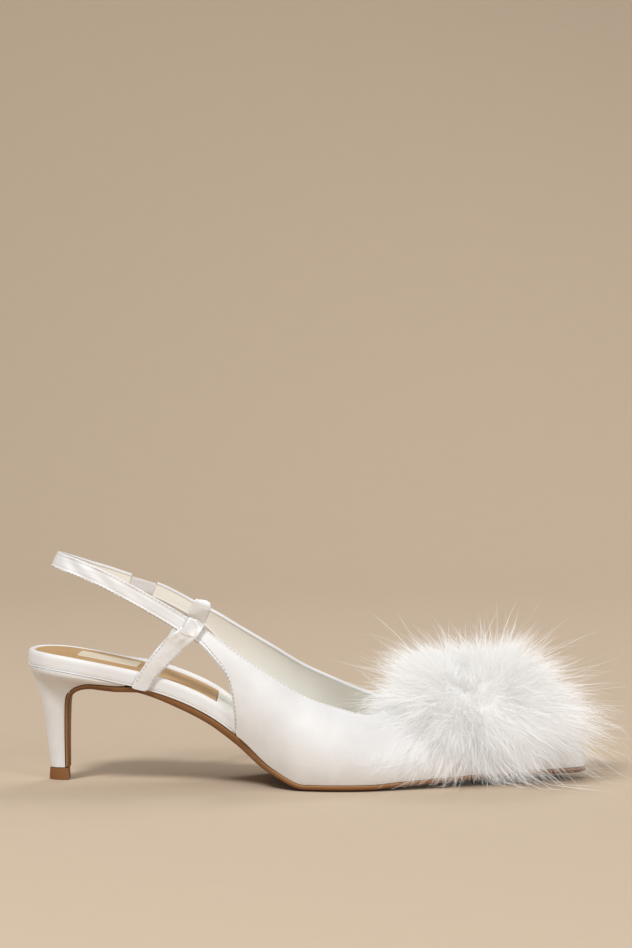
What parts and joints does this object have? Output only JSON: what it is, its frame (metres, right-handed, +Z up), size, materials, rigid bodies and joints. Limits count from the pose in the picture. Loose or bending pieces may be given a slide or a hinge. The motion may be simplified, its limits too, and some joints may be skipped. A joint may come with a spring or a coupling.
{
  "type": "high heel shoe",
  "caption": "Right slingback shoe with a pointed vamp, a feather pompom, side stays and a low tapered heel.",
  "frame": {"origin": "on the floor, under the middle of the top piece", "axes": "+X to the toe, +Y to the shoe's inner side, +Z up"},
  "size_m": [0.2543, 0.102, 0.1023],
  "materials": {
    "satin": "white satin",
    "sole_leather": "smooth tan sole leather",
    "top_piece": "hard brown rubber",
    "tan_sock": "soft tan leather",
    "cream_sock": "soft cream leather",
    "elastic": "woven elastic",
    "feather": "white down feather"
  },
  "bodies": {
    "root": {"upper": "satin", "outsole": "sole_leather", "footbed": "satin", "heel": "satin", "top_piece": "top_piece", "heel_sock": "tan_sock", "fore_sock": "cream_sock", "elastic_insert": "elastic", "stay_outer": "satin", "stay_inner": "satin", "pompom": "feather"}
  },
  "joints": []
}
